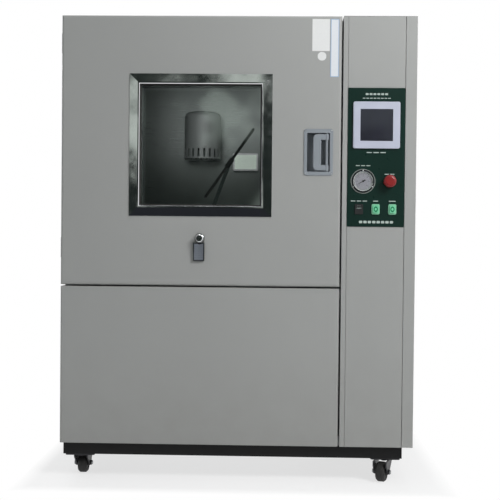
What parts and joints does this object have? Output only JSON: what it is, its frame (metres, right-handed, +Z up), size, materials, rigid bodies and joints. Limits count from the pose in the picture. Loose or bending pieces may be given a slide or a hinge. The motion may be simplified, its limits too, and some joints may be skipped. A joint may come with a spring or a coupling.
{
  "type": "sand and dust test chamber",
  "caption": "Floor-standing sheet-metal chamber on casters: windowed door over a dust hopper, blower and riser duct, and a control column with screen, gauge, stop button and push buttons.",
  "frame": {"origin": "on the floor under the middle of the cabinet", "axes": "+X to the right as seen from the front, +Y from the front to the back, +Z up"},
  "size_m": [1.1487, 1.1657, 1.498],
  "materials": {
    "black_paint": "satin black paint",
    "caster_metal": "dark zinc-plated steel",
    "caster_tread": "black rubber tread",
    "frame_steel": "galvanised steel",
    "body_paint": "pale grey powder coat, fine texture",
    "insulation_wool": "mineral wool slab",
    "black_plastic": "matte black",
    "stainless": "brushed stainless",
    "polished_stainless": "polished stainless",
    "motor_paint": "grey machine paint",
    "seal_rubber": "black rubber",
    "window_glass": "clear toughened glass",
    "handle_paint": "grey painted die-casting",
    "green_plate": "dark green acrylic plate",
    "controller_plastic": "pale grey plastic",
    "clear_window": "clear screen and lens",
    "switch_plastic": "switch bezels",
    "red_plastic": "red mushroom head",
    "button_green": "pale green lens"
  },
  "bodies": {
    "cabinet": {"base_frame": "black_paint", "caster_plates": "caster_metal", "cabinet_frame": "frame_steel", "left_side_panel": "body_paint", "right_side_panel": "body_paint", "top_panel": "body_paint", "rear_panel": "body_paint", "lower_front_panel": "body_paint", "column_post_cover": "body_paint", "column_front_panel": "body_paint", "opening_collar": "body_paint", "insulation": "insulation_wool", "inner_plates": "frame_steel", "mains_gland": "black_plastic", "test_space_liner": "stainless", "dust_hopper": "stainless", "specimen_shelf": "stainless", "air_outlet_cowl": "stainless", "chamber_fittings": "stainless", "blower_housing": "frame_steel", "blower_motor": "motor_paint", "riser_duct": "frame_steel", "hopper_vibrator": "motor_paint", "vacuum_pump": "motor_paint", "hinge_frame_leaves": "black_paint", "control_plate": "green_plate", "controller_case": "controller_plastic", "control_windows": "clear_window", "gauge_case": "polished_stainless", "switch_bodies": "switch_plastic", "timer_case": "black_plastic"},
    "door": {"door_shell": "body_paint", "door_inner_panel": "stainless", "door_gasket": "seal_rubber", "window_frame": "polished_stainless", "window_panes": "window_glass", "window_inner_frame": "stainless", "wiper_bush": "stainless", "handle_housing": "handle_paint", "hinge_door_leaves": "black_paint"},
    "handle": {"handle_lever": "handle_paint"},
    "latch": {"latch_bolt": "caster_metal"},
    "wiper": {"wiper_knob": "polished_stainless", "wiper_arm": "polished_stainless", "wiper_blade": "seal_rubber"},
    "impeller": {"blower_impeller": "frame_steel"},
    "needle": {"gauge_needle": "black_plastic"},
    "emergency_stop": {"stop_button": "red_plastic"},
    "light_switch": {"light_button": "button_green"},
    "power_switch": {"power_button": "button_green"},
    "swivel_fl": {"caster_fork_fl": "caster_metal"},
    "swivel_fr": {"caster_fork_fr": "caster_metal"},
    "swivel_rl": {"caster_fork_rl": "caster_metal"},
    "swivel_rr": {"caster_fork_rr": "caster_metal"},
    "wheel_fl": {"caster_wheel_fl": "caster_tread"},
    "wheel_fr": {"caster_wheel_fr": "caster_tread"},
    "wheel_rl": {"caster_wheel_rl": "caster_tread"},
    "wheel_rr": {"caster_wheel_rr": "caster_tread"},
    "brake_rl": {"caster_brake_rl": "caster_metal"},
    "brake_rr": {"caster_brake_rr": "caster_metal"}
  },
  "joints": [
    {"name": "door_swing", "type": "hinge", "parent": "cabinet", "child": "door", "pos_m": [-0.5727, -0.484, 1.0645], "axis": [0, 0, -1], "range_deg": [0, 110]},
    {"name": "handle_pull", "type": "hinge", "parent": "door", "child": "handle", "pos_m": [0.28445, -0.546, 1.0625], "axis": [0, 0, 1], "range_deg": [0, 40], "stiffness_Nm_per_rad": 1.5},
    {"name": "latch_slide", "type": "slide", "parent": "door", "child": "latch", "axis": [-1, 0, 0], "range_m": [0, 0.008]},
    {"name": "wiper_turn", "type": "hinge", "parent": "door", "child": "wiper", "pos_m": [-0.12, -0.49, 0.784], "axis": [0, -1, 0], "range_deg": [0, 38]},
    {"name": "impeller_spin", "type": "hinge", "parent": "cabinet", "child": "impeller", "pos_m": [-0.12, -0.078, 0.288], "axis": [0, 0, 1], "continuous": true},
    {"name": "needle_turn", "type": "hinge", "parent": "cabinet", "child": "needle", "pos_m": [0.40085, -0.557, 0.971], "axis": [0, 1, 0], "range_deg": [0, 240], "stiffness_Nm_per_rad": 0.0005},
    {"name": "stop_press", "type": "slide", "parent": "cabinet", "child": "emergency_stop", "axis": [0, 1, 0], "range_m": [0, 0.005], "stiffness_N_per_m": 800},
    {"name": "light_press", "type": "slide", "parent": "cabinet", "child": "light_switch", "axis": [0, 1, 0], "range_m": [0, 0.003], "stiffness_N_per_m": 300},
    {"name": "power_press", "type": "slide", "parent": "cabinet", "child": "power_switch", "axis": [0, 1, 0], "range_m": [0, 0.003], "stiffness_N_per_m": 300},
    {"name": "swivel_fl", "type": "hinge", "parent": "cabinet", "child": "swivel_fl", "pos_m": [-0.509, -0.485, 0.07], "axis": [0, 0, 1], "continuous": true},
    {"name": "roll_fl", "type": "hinge", "parent": "swivel_fl", "child": "wheel_fl", "pos_m": [-0.509, -0.455, 0.032], "axis": [-1, 0, 0], "continuous": true},
    {"name": "swivel_fr", "type": "hinge", "parent": "cabinet", "child": "swivel_fr", "pos_m": [0.486, -0.485, 0.07], "axis": [0, 0, 1], "continuous": true},
    {"name": "roll_fr", "type": "hinge", "parent": "swivel_fr", "child": "wheel_fr", "pos_m": [0.47574, -0.51319, 0.032], "axis": [0.9397, -0.342, 0], "continuous": true},
    {"name": "swivel_rl", "type": "hinge", "parent": "cabinet", "child": "swivel_rl", "pos_m": [-0.509, 0.495, 0.07], "axis": [0, 0, 1], "continuous": true},
    {"name": "roll_rl", "type": "hinge", "parent": "swivel_rl", "child": "wheel_rl", "pos_m": [-0.509, 0.525, 0.032], "axis": [-1, 0, 0], "continuous": true},
    {"name": "swivel_rr", "type": "hinge", "parent": "cabinet", "child": "swivel_rr", "pos_m": [0.486, 0.495, 0.07], "axis": [0, 0, 1], "continuous": true},
    {"name": "roll_rr", "type": "hinge", "parent": "swivel_rr", "child": "wheel_rr", "pos_m": [0.49376, 0.52398, 0.032], "axis": [-0.9659, 0.2588, 0], "continuous": true},
    {"name": "pedal_rl", "type": "hinge", "parent": "swivel_rl", "child": "brake_rl", "pos_m": [-0.509, 0.54943, 0.06111], "axis": [1, 0, 0], "range_deg": [0, 12]},
    {"name": "pedal_rr", "type": "hinge", "parent": "swivel_rr", "child": "brake_rr", "pos_m": [0.50009, 0.54757, 0.06111], "axis": [0.9659, -0.2588, 0], "range_deg": [0, 12]}
  ],
  "couplings": [
    {"joint": "latch_slide", "follows": "handle_pull", "m_per_rad": 0.0114}
  ]
}
